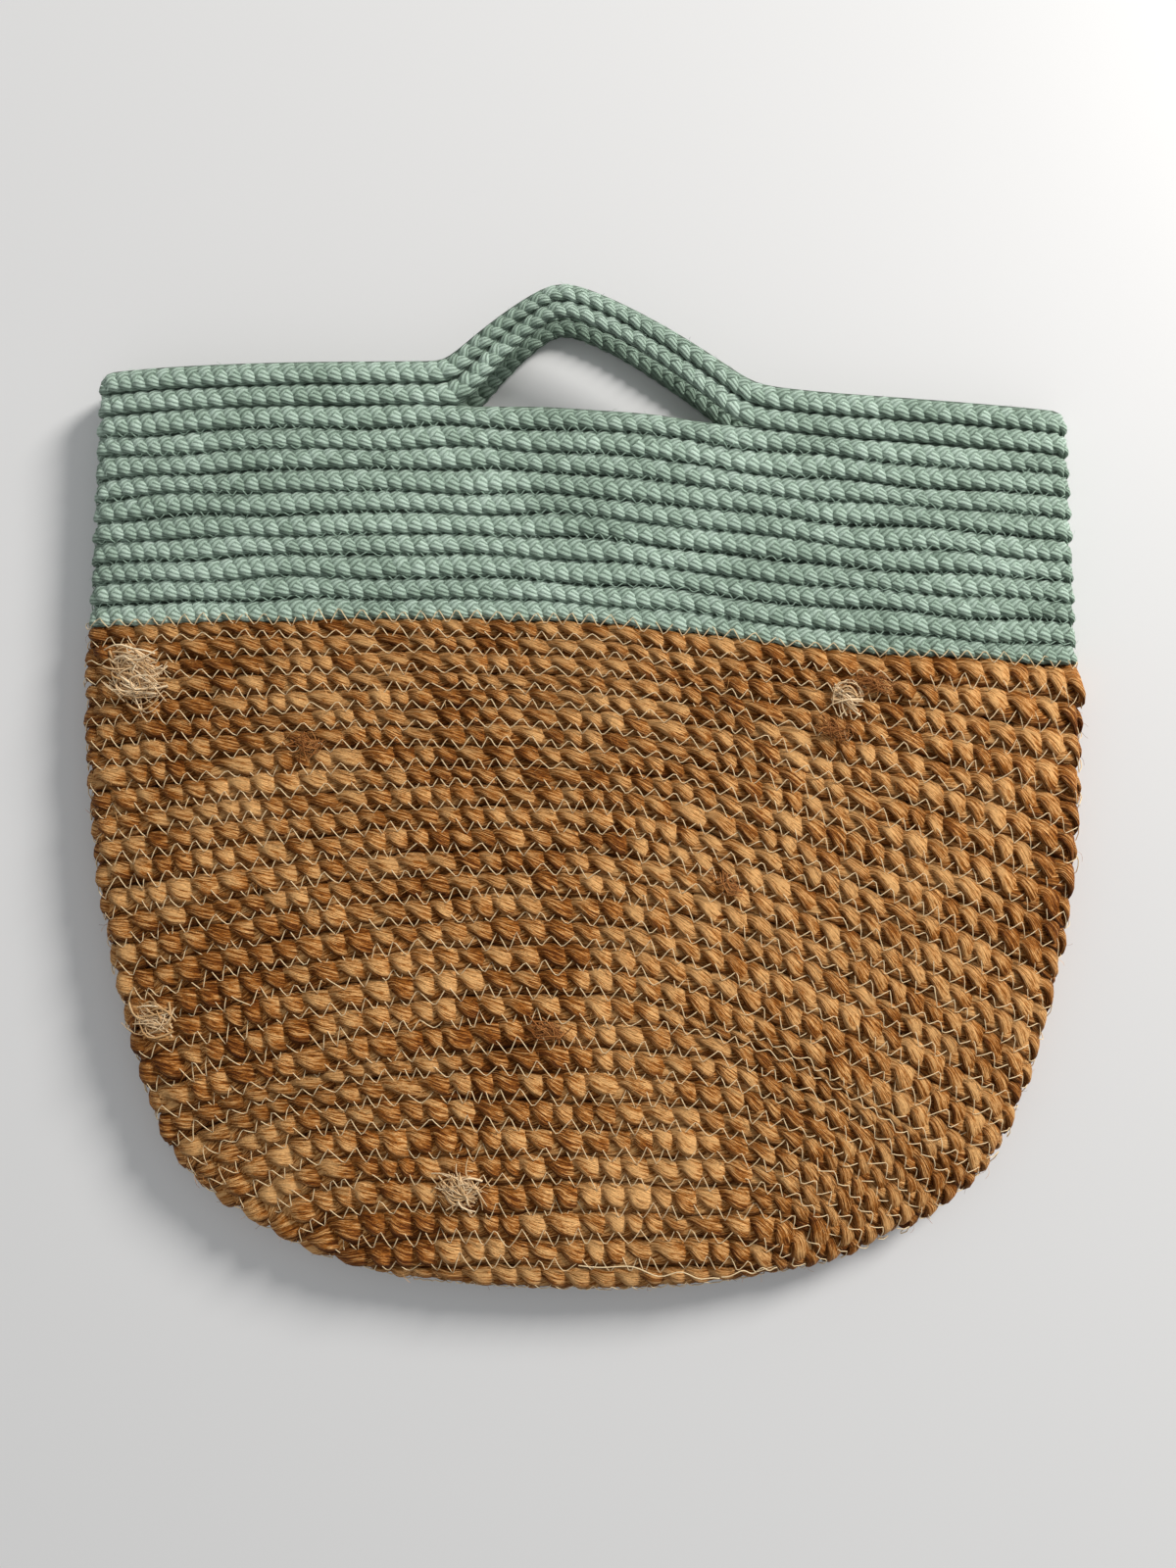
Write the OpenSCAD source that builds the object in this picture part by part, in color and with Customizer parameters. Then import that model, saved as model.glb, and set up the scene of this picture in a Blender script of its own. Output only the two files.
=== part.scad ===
// Round-bottomed beach bag of coiled braid, lying flat on its back.
// Rows of jute braid are sewn into the pouch and rows of cotton braid into the mouth band.
// The last two cotton rows rise off the rim of each panel to make its handle.
// X runs across the bag, Y from the bottom fold to the handles, Z up off the table.
// All sizes are in millimetres.

/* [What to show] */
// One node's name, or "all"

/* [Bag] */
// Full width across the sides
bag_w = 440; // [360:1:530]
// Height of the body from the bottom fold to the middle of the rim
body_h = 397; // [350:0.5:480]
// Height of the cotton band in the middle, from the border to the rim
band_h = 110.5; // [90:0.5:130]
// Thickness of the whole bag as it lies, at its middle
bag_t = 30; // [25:0.5:40]
// Thickness at the side and bottom folds
fold_t = 18; // [17:0.5:22]
// Thickness of one layer of braid
wall = 7.5; // [6:0.5:7.5]
// How far the rim and the border sag at the side folds
rim_drop = 4; // [2:0.5:14]
// How much lower the rows lie on the right than on the left, as the bag lies a little askew
askew = 18; // [0:1:24]
// Sideways place where the rows slope the most
askew_x = 55; // [-80:5:80]
// Half the length of that slope
askew_w = 75; // [50:5:150]
// How much further up the left fold than up the right one the middle jute rows end
end_skew = 56; // [0:2:60]

/* [Rows] */
// Whole jute rows between the core row and the border
jute_rows = 29; // [25:1:32]
// Cotton rows from the border to the rim, the last two carry the handle
cotton_rows = 12; // [8:2:14]
// Jute rows sewn together in one sub-part
jute_group = 3; // [2:1:4]
// Cotton rows sewn together in one sub-part
cotton_group = 2; // [1:1:2]
// Half the length of the straight core that the coil starts from
core_half = 75; // [60:1:90]
// How much wider the lowest jute row lies than the middle ones, as a share
low_row_extra = 0.3; // [0:0.05:0.4]
// Width of a sewn seam, as a share of a row
seam_share = 0.12; // [0.08:0.01:0.2]

/* [Handle] */
// Height of the handle's top above the rim
handle_rise = 40.5; // [34:0.5:50]
// Height of the handle's bending line above the rim
line_rise = 4.5; // [0:0.5:8]
// Sideways place of the handle's top
handle_x = -9; // [-20:1:20]
// Reach of the handle's left leg from its top
handle_left = 52.9; // [44:0.1:66]
// Reach of the handle's right leg from its top
handle_right = 72; // [60:0.5:88]
// Width of one handle braid at the top, the handle has two side by side
handle_braid = 7; // [6:0.1:9]
// Width of one handle braid along the bending line, on the left and on the right
foot_left = 12.4; // [9:0.1:14]
foot_right = 13.4; // [10:0.1:18]
// Roundness of the arch, 1 is a straight-sided peak
handle_round = 1.4; // [1.2:0.05:2]

/* [Clearances] */
// Free gap between the two panels along the fold
fold_gap = 0.3; // [0.2:0.1:0.6]
// Free gap between a handle and its panel at the bending line
hinge_gap = 0.3; // [0.2:0.1:0.6]
// Free gap between the lengths that a row of braid is made in
length_gap = 0.1; // [0.1:0.05:0.3]
// Free gap between the rim's rows and the row below them
rim_gap = 0.15; // [0.1:0.05:0.3]

/* [Hidden] */
$fn = 48;
fold_r = (fold_t - fold_gap) / 2;
inner_r = fold_r - wall;
dome = bag_t - fold_t;
jute_h = body_h - band_h;
border_row = jute_rows + 0.5;
rim_row = border_row + cotton_rows;
hole_row = rim_row - 2;
// The bag's bottom fold lies this far before the middle of its footprint
y_shift = -(body_h + handle_rise) / 2;

// The outline's right half is four arcs that run on into a straight side.
// Each arc has a radius and a turn; the radii grow with the bag's width.
base_r = [536, 188, 68, 499];
arc_a = [8, 29, 33, 22.8];
function heading(i) = i == 0 ? 0 : heading(i - 1) + arc_a[i - 1];
function half_w(i) = i < 0 ? 0
    : half_w(i - 1) + base_r[i] * (sin(min(heading(i + 1), 90)) - sin(heading(i)));
size_k = bag_w / 2 / half_w(3);
arc_r = base_r * size_k;
function arc_len(i) = arc_r[i] * arc_a[i] * PI / 180;
function along(i) = i == 0 ? 0 : along(i - 1) + arc_len(i - 1);
function across(turn) = [sin(turn), -cos(turn)];
function arc_start(i) = i == 0 ? [0, 0]
    : arc_start(i - 1) + arc_r[i - 1] * (across(heading(i)) - across(heading(i - 1)));
function arc_centre(i) = arc_start(i) - arc_r[i] * across(heading(i));
starts = [for (i = [0 : 4]) arc_start(i)];
centres = [for (i = [0 : 3]) arc_centre(i)];
heads = [for (i = [0 : 4]) heading(i)];
side_s = along(4);

// Heading of the outline, its point and the arc it is on, at a distance s from the bottom middle
function arc_of(s) = s < along(1) ? 0 : s < along(2) ? 1 : s < along(3) ? 2 : s < side_s ? 3 : 4;
function head_at(s) = let (i = arc_of(s))
    i == 4 ? heads[4] : heads[i] + (s - along(i)) / arc_r[i] * 180 / PI;
function point_at(s) = let (i = arc_of(s))
    i == 4 ? starts[4] + (s - side_s) * [cos(heads[4]), sin(heads[4])]
    : centres[i] + arc_r[i] * across(head_at(s));
function side_at(y) = side_s + (y - starts[4][1]) / sin(heads[4]);

// Rows are drawn on the panel laid out flat: there the fold's quarter round takes up more room
quarter = fold_r * PI / 2;
spare = quarter - fold_r;

// Rows share the outline evenly, jute below the border and cotton above it
// Side is -1 for the left fold and 1 for the right one
core_s = core_half * size_k;
border_s = side_at(jute_h - rim_drop);
rim_s = side_at(body_h - rim_drop);
function edge_s(v, side) = v <= border_row
    ? core_s + (border_s - core_s) * v / border_row
        - side * end_skew * 2 * v * (border_row - v) / pow(border_row, 2)
    : border_s + (rim_s - border_s) * (v - border_row) / cotton_rows;
function edge_point(v, side) = let (s = edge_s(v, side)) point_at(s) + spare * across(head_at(s));
function mid_y(v) = v <= border_row
    ? let (t = v / border_row)
        -spare + (jute_h + spare) * ((1 + low_row_extra) * t - low_row_extra * t * t)
    : jute_h + band_h * (v - border_row) / cotton_rows;
// A row bends down near its ends so that it meets the side fold squarely
function bend(v, side, sag) = max(2, min(10,
    edge_point(v, side)[0] / tan(min(head_at(edge_s(v, side)), 88)) / max(sag, 2)));
function row_y(v, x) = let (
    side = x < 0 ? -1 : 1,
    end = edge_point(v, side),
    sag = mid_y(v) - end[1])
    mid_y(v) - sag * pow(min(abs(x) / end[0], 1), bend(v, side, sag));

// Distance of a flat point from the laid-out edge, and the way to that edge
function arc_by(p) = let (
    turn = [for (i = [0 : 3]) atan2(p[1] - centres[i][1], p[0] - centres[i][0]) + 90])
    turn[0] <= heads[1] ? 0 : turn[1] <= heads[2] ? 1 : turn[2] <= heads[3] ? 2
    : turn[3] <= heads[4] ? 3 : 4;
function edge_way(p, i) = i == 4 ? across(heads[4]) : (p - centres[i]) / norm(p - centres[i]);
function edge_dist(p, i) = spare + (i == 4
    ? (starts[4] - p) * across(heads[4])
    : arc_r[i] - norm(p - centres[i]));

// How far the upper panel domes up: nothing at the folds, all of it in the middle
dome_y = 225 * size_k;
askew_y = 200 * size_k;
function reach(p) = pow(pow(abs(p[0]) / (bag_w / 2), 2.7)
    + pow(max(dome_y - p[1], 0) / dome_y, 2.7), 1 / 2.7);
function lift(p) = dome * (1 - pow(min(reach(p), 1), 5));

// How far the askew bag's rows are moved down at a place, less and less towards the round bottom
function slope_down(x) = let (u = (x - askew_x) / askew_w) askew / 2 * u / sqrt(1 + u * u);
function upper_share(y) = let (t = min(max(y, 0) / askew_y, 1)) t * t * (3 - 2 * t);

// A flat point brought to its place on the bag, on the outside or the inside of the braid
function placed(x, y, front, depth) = let (
    p = [abs(x), y],
    i = arc_by(p),
    s = max(edge_dist(p, i), 0),
    turn = min(s / fold_r * 180 / PI, 90),
    q = s < quarter
        ? p + (edge_dist(p, i) - spare - fold_r + depth * cos(turn)) * edge_way(p, i)
        : p,
    z = front ? fold_r + fold_gap + depth * sin(turn) + lift(q) : fold_r - depth * sin(turn))
    [x < 0 ? -q[0] : q[0], q[1] + y_shift - slope_down(x) * upper_share(q[1]), z];

// Where a row is measured along its length, closer together towards the folds
steps = 13;
function share(i) = 1 - pow(1 - i / steps, 1.5);
whole_row = concat([for (i = [steps : -1 : 1]) -share(i)], [for (i = [0 : steps]) share(i)]);

// A band of braid through the flat points in rows, each a list from left to right
// It is made in lengths that end at the places numbered in cuts, so that each length is nearly
// straight and the hollow behind it stays open
module band(rows, front, cuts) {
    for (c = [0 : len(cuts) - 2])
        length_of_band([for (row = rows) row_length(row, cuts[c], cuts[c + 1])], front);
}

// The points of a row from place a to place b, taken in a little where another length follows
function taken_in(p, q) = p + length_gap / 2 * (q - p) / norm(q - p);
function row_length(row, a, b) = [for (i = [a : b])
    i == a && a > 0 ? taken_in(row[i], row[i + 1])
    : i == b && b < len(row) - 1 ? taken_in(row[i], row[i - 1])
    : row[i]];

module length_of_band(rows, front) {
    q = len(rows);
    m = len(rows[0]);
    skins = [for (depth = [fold_r, inner_r]) for (i = [0 : m - 1]) for (row = rows)
        placed(row[i][0], row[i][1], front, depth)];
    function out(i, j) = i * q + j;
    function inn(i, j) = m * q + i * q + j;
    faces = concat(
        [for (i = [0 : m - 2]) for (j = [0 : q - 2]) each [
            [out(i, j), out(i, j + 1), out(i + 1, j + 1)],
            [out(i, j), out(i + 1, j + 1), out(i + 1, j)],
            [inn(i, j), inn(i + 1, j + 1), inn(i, j + 1)],
            [inn(i, j), inn(i + 1, j), inn(i + 1, j + 1)]]],
        [for (i = [0 : m - 2]) each [
            [out(i, 0), out(i + 1, 0), inn(i + 1, 0)],
            [out(i, 0), inn(i + 1, 0), inn(i, 0)],
            [out(i, q - 1), inn(i + 1, q - 1), out(i + 1, q - 1)],
            [out(i, q - 1), inn(i, q - 1), inn(i + 1, q - 1)]]],
        [for (j = [0 : q - 2]) each [
            [out(0, j), inn(0, j), inn(0, j + 1)],
            [out(0, j), inn(0, j + 1), out(0, j + 1)],
            [out(m - 1, j), inn(m - 1, j + 1), inn(m - 1, j)],
            [out(m - 1, j), out(m - 1, j + 1), inn(m - 1, j + 1)]]]);
    polyhedron(skins, front ? faces : [for (f = faces) [f[0], f[2], f[1]]], convexity = 6);
}

// A front row is cut into five lengths and a flatter back row into three
function row_cuts(front) = front
    ? [0, steps - 10, steps - 6, steps + 6, steps + 10, 2 * steps]
    : [0, 2, 2 * steps - 2, 2 * steps];
module whole_band(vs, front, cuts) {
    band([for (v = vs) [for (t = whole_row)
        let (x = t * edge_point(v, t < 0 ? -1 : 1)[0]) [x, row_y(v, x)]]], front, cuts);
}

// Rows of one group: its lower edge, the seams inside it and its upper edge
half_seam = seam_share / 2;
function lines(v0, v1) = concat(
    [v0 == 0 ? 0 : v0 + half_seam],
    [for (v = [ceil(v0 + 0.01) - 0.5 : 1 : v1 - 0.9]) if (v > v0 + 0.2) v],
    [v1 == hole_row ? v1 : v1 - half_seam]);

// Where each group starts, counted in rows from the bottom fold
jute_cuts = concat([0], [for (v = [jute_group - 0.5 : jute_group : border_row - 1]) v]);
cotton_cuts = [for (v = [border_row : cotton_group : hole_row - 1]) v];

module jute_rows_part(front, k) {
    end = k < len(jute_cuts) - 1 ? jute_cuts[k + 1] : border_row;
    color("#b07c44")
        whole_band(lines(jute_cuts[k], end), front, row_cuts(front));
}

module cotton_rows_part(front, k) {
    end = k < len(cotton_cuts) - 1 ? cotton_cuts[k + 1] : hole_row;
    color("#8fb8a2")
        whole_band(lines(cotton_cuts[k], end), front, row_cuts(front));
}

// Thread along the seams between the groups of jute rows, and along the border
module jute_stitching(front) {
    color("#e6d3a8")
        for (v = concat([for (c = jute_cuts) if (c > 0) c], [border_row]))
            whole_band([v - half_seam, v + half_seam], front, [0, 2 * steps]);
}

module cotton_stitching(front) {
    color("#7c9a8a")
        for (c = cotton_cuts)
            if (c > border_row)
                whole_band([c - half_seam, c + half_seam], front, [0, 2 * steps]);
}

// The arches that bound the handle's braids, counted from the outside, stand on the bending line
// and run on below it until they meet the rows of the rim
line_y = body_h + line_rise + hinge_gap / 2;
function leg(side, k) = side < 0 ? handle_left - k * foot_left : handle_right - k * foot_right;
function arch_y(x, k) = let (away = x - handle_x)
    line_y + (body_h + handle_rise - line_y - k * handle_braid)
        * (1 - pow(abs(away) / leg(away, k), handle_round));

// The last two cotton rows beside the hand hole, up to the handle's bending line
// Beside the foot each of them lies on a row or on an arch, whichever is higher
function rim_share(i) = (1 - cos(180 * i / steps)) / 2;
function rim_row_points(side, j) = let (
    v = hole_row + j,
    a = handle_x + side * leg(side, 2 - j),
    b = side * edge_point(v, side)[0])
    [for (i = [0 : steps]) let (x = a + (b - a) * rim_share(i))
        [x, i == 0 ? line_y - hinge_gap + slope_down(x)
            : (j == 0 ? rim_gap : 0)
                + max(row_y(v, x), min(arch_y(x, 2 - j), line_y - hinge_gap) + slope_down(x))]];
module rim_part(front, side) {
    rows = [for (j = [0 : 2]) rim_row_points(side, j)];
    cuts = front ? [0, 4, 9, steps] : [0, 9, steps];
    color("#8fb8a2")
        band(side > 0 ? rows : [for (row = rows) reversed(row)], front,
            side > 0 ? cuts : [for (c = reversed(cuts)) steps - c]);
}

// A braid of the handle, between two arches
function arch_points(k) = [for (i = [0 : 28])
    let (x = handle_x - leg(-1, k) + (leg(-1, k) + leg(1, k)) * i / 28)
    [x, i % 28 == 0 ? line_y : arch_y(x, k)]];
function reversed(list) = [for (i = [len(list) - 1 : -1 : 0]) list[i]];

module handle_part(front, k) {
    color("#8fb8a2")
        translate([0, y_shift, front ? bag_t - wall : 0])
            linear_extrude(height = wall)
                polygon(concat(arch_points(k), reversed(arch_points(k + 1))));
}

function two(n) = n < 10 ? str("0", n) : str(n);
sides = ["front", "back"];

for (s = sides) {
    front = s == "front";
    for (k = [1 : len(jute_cuts)])
        jute_rows_part(front, k - 1);
    for (k = [1 : len(cotton_cuts)])
        cotton_rows_part(front, k - 1);
    jute_stitching(front);
    cotton_stitching(front);
    rim_part(front, -1);
    rim_part(front, 1);
    handle_part(front, 0);
    handle_part(front, 1);
}
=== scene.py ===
"""Looks of a round-bottomed beach bag of coiled jute and cotton braid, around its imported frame.

Every row of the two coils is one guide line that runs round the bag, over the front panel, round
the side folds and back over the rear panel. Three strands are plaited along each guide.
Sizes are in millimetres until a mesh is made.
"""
import math

import bpy
import numpy as np
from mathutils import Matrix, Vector


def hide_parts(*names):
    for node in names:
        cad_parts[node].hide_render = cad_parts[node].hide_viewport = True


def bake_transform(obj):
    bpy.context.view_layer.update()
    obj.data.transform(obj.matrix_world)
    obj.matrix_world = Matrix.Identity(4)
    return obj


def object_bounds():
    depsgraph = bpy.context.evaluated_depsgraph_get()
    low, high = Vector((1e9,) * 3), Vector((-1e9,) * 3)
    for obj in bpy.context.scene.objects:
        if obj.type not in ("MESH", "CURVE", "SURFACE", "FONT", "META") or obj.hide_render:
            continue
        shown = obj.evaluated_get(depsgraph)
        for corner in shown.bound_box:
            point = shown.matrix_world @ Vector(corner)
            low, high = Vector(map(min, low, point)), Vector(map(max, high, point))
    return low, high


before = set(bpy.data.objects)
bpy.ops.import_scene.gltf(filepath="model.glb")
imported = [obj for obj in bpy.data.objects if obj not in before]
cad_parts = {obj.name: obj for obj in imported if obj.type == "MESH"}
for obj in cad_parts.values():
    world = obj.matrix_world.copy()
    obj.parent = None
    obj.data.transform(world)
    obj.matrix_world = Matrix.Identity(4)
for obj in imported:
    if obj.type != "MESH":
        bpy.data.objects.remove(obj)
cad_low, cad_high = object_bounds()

MM = 0.001

# ---------------------------------------------------------------- sizes of the bag
BAG_W = (cad_high.x - cad_low.x) / MM
BAG_T = (cad_high.z - cad_low.z) / MM
HEIGHT = (cad_high.y - cad_low.y) / MM
HANDLE_RISE = 40.5
BODY_H = HEIGHT - HANDLE_RISE
BAND_H = 110.5
JUTE_H = BODY_H - BAND_H
FOLD_T = 18.0
WALL = 7.5
FOLD_GAP = 0.3
RIM_DROP = 4.0
ASKEW, ASKEW_X, ASKEW_W = 18.0, 55.0, 75.0
END_SKEW = 56.0
CORE_HALF = 75.0
LOW_ROW_EXTRA = 0.3
JUTE_ROWS, COTTON_ROWS = 29, 12
JUTE_GROUP, COTTON_GROUP = 3, 2
LINE_RISE = 4.5
HINGE_GAP = 0.3
HANDLE_X, HANDLE_LEFT, HANDLE_RIGHT = -9.0, 52.9, 72.0
HANDLE_BRAID, FOOT_LEFT, FOOT_RIGHT = 7.0, 12.4, 13.4
HANDLE_ROUND = 1.4

FOLD_R = (FOLD_T - FOLD_GAP) / 2
MID_DEPTH = FOLD_R - WALL / 2
DOME = BAG_T - FOLD_T
BORDER_ROW = JUTE_ROWS + 0.5
RIM_ROW = BORDER_ROW + COTTON_ROWS
Y_SHIFT = -HEIGHT / 2
LINE_Y = BODY_H + LINE_RISE + HINGE_GAP / 2
QUARTER = FOLD_R * math.pi / 2
SPARE = QUARTER - FOLD_R

# ---------------------------------------------------------------- outline of the bag
# The right half is four arcs, each with a radius and a turn, that run on into a straight side.
BASE_R = (536, 188, 68, 499)
ARC_TURN = np.radians([8, 29, 33, 22.8])
HEADS = np.concatenate([[0], np.cumsum(ARC_TURN)])


def out_of(turn):
    """The way out of the bag where the outline has this heading."""
    return np.array([math.sin(turn), -math.cos(turn)])


def widest(turn):
    return math.sin(min(turn, math.pi / 2))


half_w = sum(r * (widest(b) - math.sin(a)) for r, a, b in zip(BASE_R, HEADS, HEADS[1:]))
SIZE_K = BAG_W / 2 / half_w
ARC_R = [r * SIZE_K for r in BASE_R]
ARC_END = np.cumsum([r * a for r, a in zip(ARC_R, ARC_TURN)])
STARTS = [np.zeros(2)]
for r, a, b in zip(ARC_R, HEADS, HEADS[1:]):
    STARTS.append(STARTS[-1] + r * (out_of(b) - out_of(a)))
CENTRES = [start - r * out_of(a) for start, r, a in zip(STARTS, ARC_R, HEADS)]
SIDE_S = ARC_END[-1]
DOME_Y = 225 * SIZE_K
ASKEW_Y = 200 * SIZE_K


def outline(s):
    """Point and heading of the outline at a distance s from the bottom middle."""
    i = int(np.searchsorted(ARC_END, s, side="right"))
    if i == len(ARC_R):
        turn = HEADS[-1]
        return STARTS[-1] + (s - SIDE_S) * np.array([math.cos(turn), math.sin(turn)]), turn
    turn = HEADS[i] + (s - (ARC_END[i - 1] if i else 0)) / ARC_R[i]
    return CENTRES[i] + ARC_R[i] * out_of(turn), turn


def side_at(y):
    return SIDE_S + (y - STARTS[-1][1]) / math.sin(HEADS[-1])


CORE_S = CORE_HALF * SIZE_K
BORDER_S = side_at(JUTE_H - RIM_DROP)
RIM_S = side_at(BODY_H - RIM_DROP)


def row_end(v, side):
    """Where row v meets the side fold on the panel laid out flat, and the outline's heading there."""
    if v <= BORDER_ROW:
        s = CORE_S + (BORDER_S - CORE_S) * v / BORDER_ROW
        s -= side * END_SKEW * 2 * v * (BORDER_ROW - v) / BORDER_ROW**2
    else:
        s = BORDER_S + (RIM_S - BORDER_S) * (v - BORDER_ROW) / COTTON_ROWS
    point, turn = outline(s)
    return point + SPARE * out_of(turn), turn


def mid_y(v):
    if v <= BORDER_ROW:
        t = v / BORDER_ROW
        return -SPARE + (JUTE_H + SPARE) * ((1 + LOW_ROW_EXTRA) * t - LOW_ROW_EXTRA * t * t)
    return JUTE_H + BAND_H * (v - BORDER_ROW) / COTTON_ROWS


def slope_down(x):
    """How far the rows lie lower at x, because the bag lies a little askew."""
    u = (x - ASKEW_X) / ASKEW_W
    return ASKEW / 2 * u / np.sqrt(1 + u * u)


def upper_share(y):
    t = np.clip(y / ASKEW_Y, 0, 1)
    return t * t * (3 - 2 * t)


def waves(seed, count, low, high):
    """Parts of a smooth, repeatable wobble: how often it waves across and along, and where it starts."""
    draw = np.random.default_rng(seed)
    turn = draw.uniform(0, math.tau, count)
    often = math.tau / draw.uniform(low, high, count)
    return often * np.cos(turn), often * np.sin(turn), draw.uniform(0, math.tau, count)


def wobble(x, y, parts):
    a, b, c = parts
    return np.sin(np.multiply.outer(x, a) + np.multiply.outer(y, b) + c).mean(-1)


ROW_WAVES = waves(3, 6, 38, 110)
ROW_WANDER = 1.4
DOME_WAVES = waves(5, 6, 60, 170)


def arch_y(x, k):
    """The handle's arch number k, counted from the outside; it runs on below the bending line."""
    away = x - HANDLE_X
    leg = np.where(away < 0, HANDLE_LEFT - k * FOOT_LEFT, HANDLE_RIGHT - k * FOOT_RIGHT)
    soft = 5.0
    reach = (np.sqrt(away**2 + soft**2) - soft * np.exp(-np.abs(away) / 12)) / leg
    return LINE_Y + (BODY_H + HANDLE_RISE - LINE_Y - k * HANDLE_BRAID) * (1 - reach**HANDLE_ROUND)


def flat_row(v, t, handle):
    """Points of row v on the panel laid out flat; t runs from -1 at the left fold to 1 at the right."""
    x, y = np.zeros_like(t), np.zeros_like(t)
    for side in (-1, 1):
        end, turn = row_end(v, side)
        sag = mid_y(v) - end[1]
        slope = math.tan(min(turn, math.radians(88)))
        power = max(2, min(10, end[0] / slope / max(sag, 2)))
        here = (t < 0) if side < 0 else (t >= 0)
        x[here] = t[here] * end[0]
        y[here] = mid_y(v) - sag * np.abs(t[here]) ** power
    if handle:
        arch = arch_y(x, RIM_ROW - v) + slope_down(x)
        soft = 2.2
        y = arch + soft * np.logaddexp(0, (y - arch) / soft)
    else:
        y = y + ROW_WANDER * wobble(x, y * 2.5, ROW_WAVES)
    return x, y


def placed(x, y, front, depth):
    """Flat points brought to their place on the bag, at a depth from the middle of the fold."""
    p = np.stack([np.abs(x), y], -1)
    away = [p - c for c in CENTRES]
    turns = [np.arctan2(d[:, 1], d[:, 0]) + math.pi / 2 for d in away]
    arc = np.select([t <= h for t, h in zip(turns, HEADS[1:])], range(4), 4)
    far = [np.linalg.norm(d, axis=1) for d in away]
    straight = out_of(HEADS[-1])
    gap = np.choose(arc, [r - f for r, f in zip(ARC_R, far)] + [(STARTS[-1] - p) @ straight]) + SPARE
    ways = np.array([d / f[:, None] for d, f in zip(away, far)] + [np.tile(straight, (len(p), 1))])
    way = ways[arc, np.arange(len(p))]
    s = np.maximum(gap, 0)
    turn = np.minimum(s / FOLD_R, math.pi / 2)
    shift = np.where(s < QUARTER, gap - SPARE - FOLD_R + depth * np.cos(turn), 0)
    q = p + shift[:, None] * way
    if front:
        rise = (q[:, 0] / (BAG_W / 2)) ** 2.7 + (np.maximum(DOME_Y - q[:, 1], 0) / DOME_Y) ** 2.7
        share = 1 - np.minimum(rise ** (1 / 2.7), 1) ** 5
        uneven = 0.8 * wobble(x, y, DOME_WAVES) - 0.5
        z = FOLD_R + FOLD_GAP + depth * np.sin(turn) + (DOME + uneven) * share
    else:
        z = FOLD_R - depth * np.sin(turn)
    q[:, 0] = np.where(x < 0, -q[:, 0], q[:, 0])
    return np.stack([q[:, 0], q[:, 1] + Y_SHIFT - slope_down(x) * upper_share(q[:, 1]), z], -1)


# ---------------------------------------------------------------- guide lines
DENSE = 420


def loop_points(v, handle, depth):
    """A row all round the bag, from the middle of the back over the left fold to the front and on."""
    t = np.linspace(0, 1, DENSE)
    ways = [(-t, False), (np.linspace(-1, 1, 2 * DENSE), True), (t[::-1], False)]
    return np.concatenate([placed(*flat_row(v, w, handle), front, depth) for w, front in ways])


def unit(a):
    return a / np.maximum(np.linalg.norm(a, axis=-1, keepdims=True), 1e-9)


def smooth(a, times):
    for _ in range(times):
        a[1:-1] = (a[:-2] + 2 * a[1:-1] + a[2:]) / 4
    return a


class Guide:
    """A line on the bag with, at even steps, its place, the ways along, across and out, and its pitch."""

    def __init__(self, place, across, step):
        length = np.concatenate([[0], np.cumsum(np.linalg.norm(np.diff(place, axis=0), axis=1))])
        count = max(int(round(length[-1] / step)), 2)
        run = np.linspace(0, length[-1], count + 1)
        self.place = np.stack([np.interp(run, length, place[:, i]) for i in range(3)], -1)
        wide = np.stack([np.interp(run, length, across[:, i]) for i in range(3)], -1)
        self.along = unit(smooth(np.gradient(self.place, axis=0), 2))
        wide = smooth(wide - (wide * self.along).sum(1)[:, None] * self.along, 2)
        self.pitch = np.linalg.norm(wide, axis=1)
        self.across = unit(wide)
        self.out = unit(np.cross(self.along, self.across))
        self.run = run
        self.length = length[-1]

    def part(self, keep):
        """The stretch of the guide at the points in keep; its length stays that of the whole guide."""
        made = object.__new__(Guide)
        for name in ("place", "along", "across", "out", "pitch", "run"):
            setattr(made, name, getattr(self, name)[keep])
        made.length = self.length
        return made


def row_guide(v, step, handle=False):
    """The guide of row v, all round the bag."""
    place = loop_points(v, handle, MID_DEPTH)
    across = loop_points(v + 0.5, handle, MID_DEPTH) - loop_points(v - 0.5, handle, MID_DEPTH)
    return Guide(place, across, step)


def core_guide(step):
    """The coil's straight start, which lies along the bottom fold."""
    t = np.linspace(-1, 1, DENSE)
    x, y = flat_row(0, t, False)
    place = placed(x, y, True, MID_DEPTH)
    above = placed(*flat_row(0.5, t, False), True, MID_DEPTH)
    below = placed(*flat_row(0.5, t, False), False, MID_DEPTH)
    return Guide(place, above - below, step)


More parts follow.
